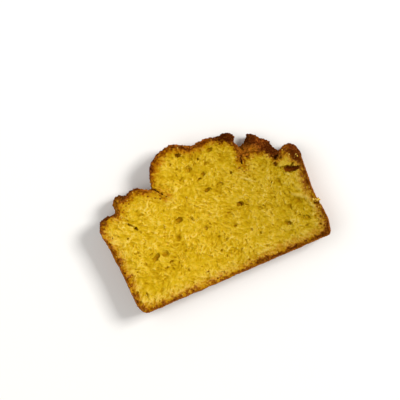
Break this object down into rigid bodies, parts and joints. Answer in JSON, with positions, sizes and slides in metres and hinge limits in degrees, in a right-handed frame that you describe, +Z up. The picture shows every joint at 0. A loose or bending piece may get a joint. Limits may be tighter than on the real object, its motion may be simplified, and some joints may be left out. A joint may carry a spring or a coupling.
{
  "type": "loaf cake slice",
  "caption": "Slice of yellow loaf pound cake lying flat on its cut face, with straight tin-baked sides and a cracked, lobed top crust.",
  "frame": {"origin": "middle of the underside, on the surface that the slice lies on", "axes": "+X along the base crust, +Y from the base crust to the domed top crust, +Z up through the slice's thickness, out of the cut face that shows"},
  "size_m": [0.1234, 0.083, 0.02],
  "materials": {
    "cake": "matte, open golden yellow crumb with a browned, slightly glossy crust at its edges"
  },
  "bodies": {
    "root": {"cake_slice": "cake"}
  },
  "joints": []
}
